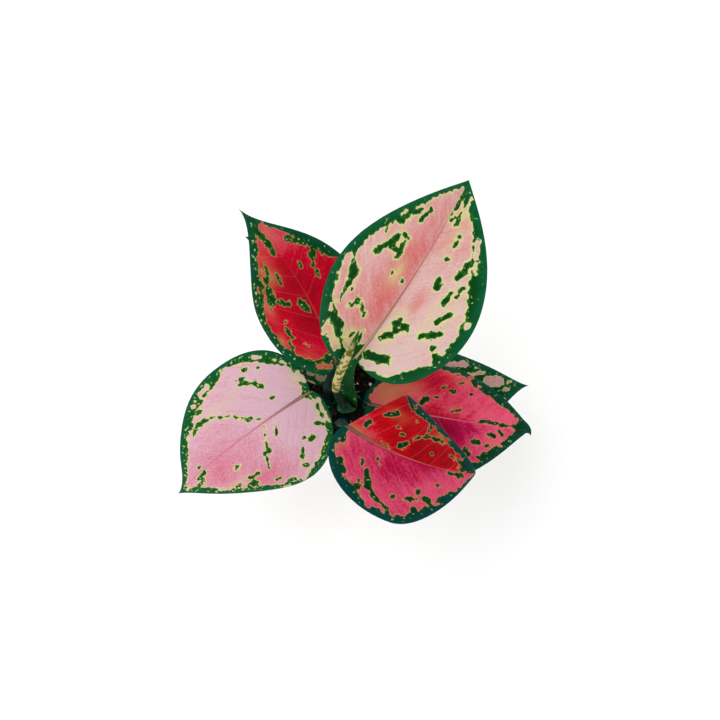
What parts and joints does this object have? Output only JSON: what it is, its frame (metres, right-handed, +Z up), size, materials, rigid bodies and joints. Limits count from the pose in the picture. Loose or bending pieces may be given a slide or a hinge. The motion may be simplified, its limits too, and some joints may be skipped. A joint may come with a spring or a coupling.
{
  "type": "potted chinese evergreen",
  "caption": "Young chinese evergreen with broad pointed leaves in pink, red and dark green, a rolled new leaf, and a plain tapered pot with potting mix.",
  "frame": {"origin": "middle of the pot's underside, on the surface it stands on", "axes": "+Z up; +X and +Y level, with the newest leaf reaching to +X +Y"},
  "size_m": [0.2771, 0.2286, 0.2625],
  "materials": {
    "pot_glaze": "gloss",
    "potting_mix": "matte",
    "stem_skin": "satin",
    "stalk_skin": "satin",
    "new_leaf_skin": "satin",
    "pink_leaf": "satin",
    "red_leaf": "satin",
    "green_leaf": "satin"
  },
  "bodies": {
    "root": {"pot": "pot_glaze", "soil": "potting_mix", "stem": "stem_skin", "new_leaf": "new_leaf_skin", "petiole_1": "stalk_skin", "petiole_2": "stalk_skin", "petiole_3": "stalk_skin", "petiole_4": "stalk_skin", "petiole_5": "stalk_skin", "petiole_6": "stalk_skin", "petiole_7": "stalk_skin", "leaf_1": "pink_leaf", "leaf_2": "red_leaf", "leaf_3": "pink_leaf", "leaf_4": "red_leaf", "leaf_5": "red_leaf", "leaf_6": "green_leaf", "leaf_7": "green_leaf"}
  },
  "joints": []
}
